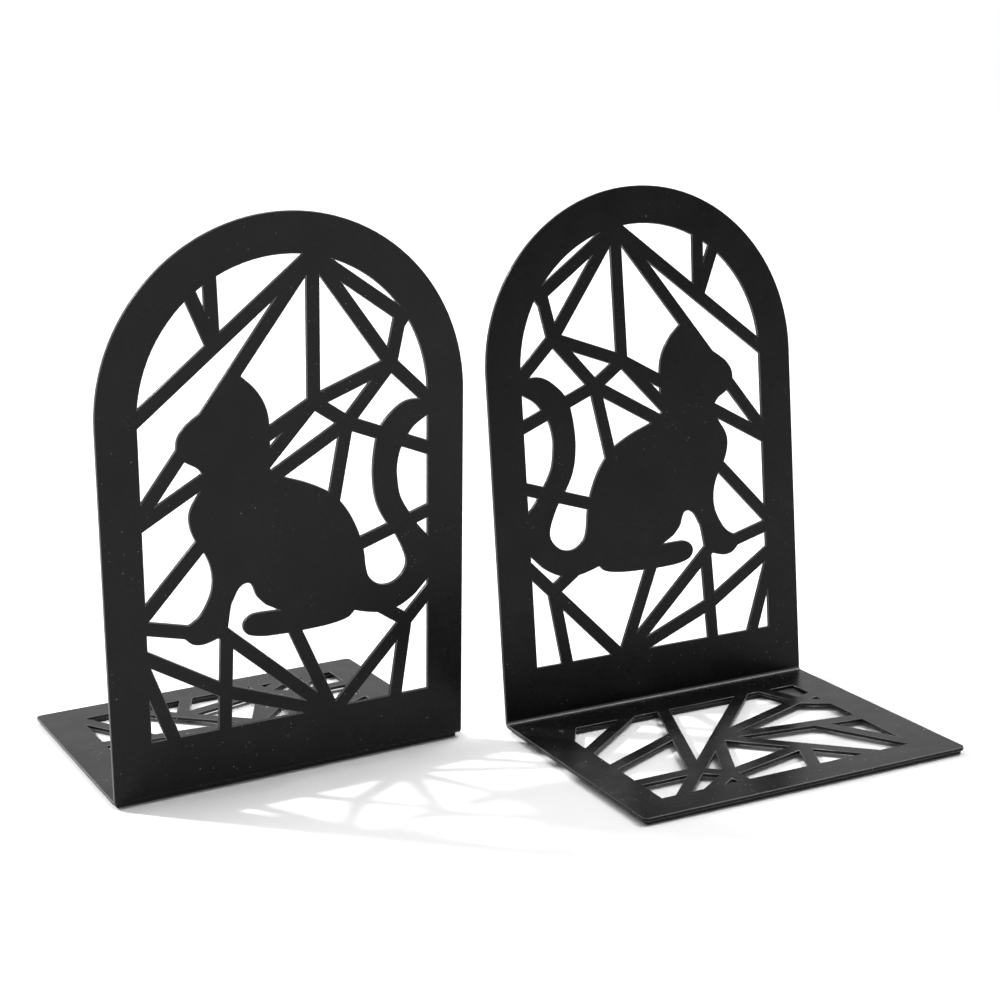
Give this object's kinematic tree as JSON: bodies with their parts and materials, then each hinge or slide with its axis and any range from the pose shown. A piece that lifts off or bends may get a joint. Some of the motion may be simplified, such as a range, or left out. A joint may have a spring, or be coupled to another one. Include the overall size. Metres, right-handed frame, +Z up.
{
  "type": "book ends",
  "caption": "Pair of folded sheet-steel book ends: arched upright with a cat among bars cut in its window, barred base, foam anti-slip strips below",
  "frame": {"origin": "centre of the pair's footprint, on the surface it stands on", "axes": "+Z up; X along the two uprights, +X towards the right book end; -Y towards the side where the right book end's base lies"},
  "size_m": [0.2556, 0.1948, 0.1801],
  "materials": {
    "black_steel": "matt black powder coat with a fine grain",
    "foam": "closed-cell black foam, matt",
    "film": "dark adhesive film, dull"
  },
  "bodies": {
    "left_bookend": {"left_plate": "black_steel", "left_front_film": "film", "left_front_strip": "foam", "left_rear_film": "film", "left_rear_strip": "foam"},
    "right_bookend": {"right_plate": "black_steel", "right_front_film": "film", "right_front_strip": "foam", "right_rear_film": "film", "right_rear_strip": "foam"}
  },
  "joints": [
    {"name": "right_bookend_slide", "type": "slide", "parent": "left_bookend", "child": "right_bookend", "axis": [0, 1, 0], "range_m": [0, 0.25]}
  ]
}
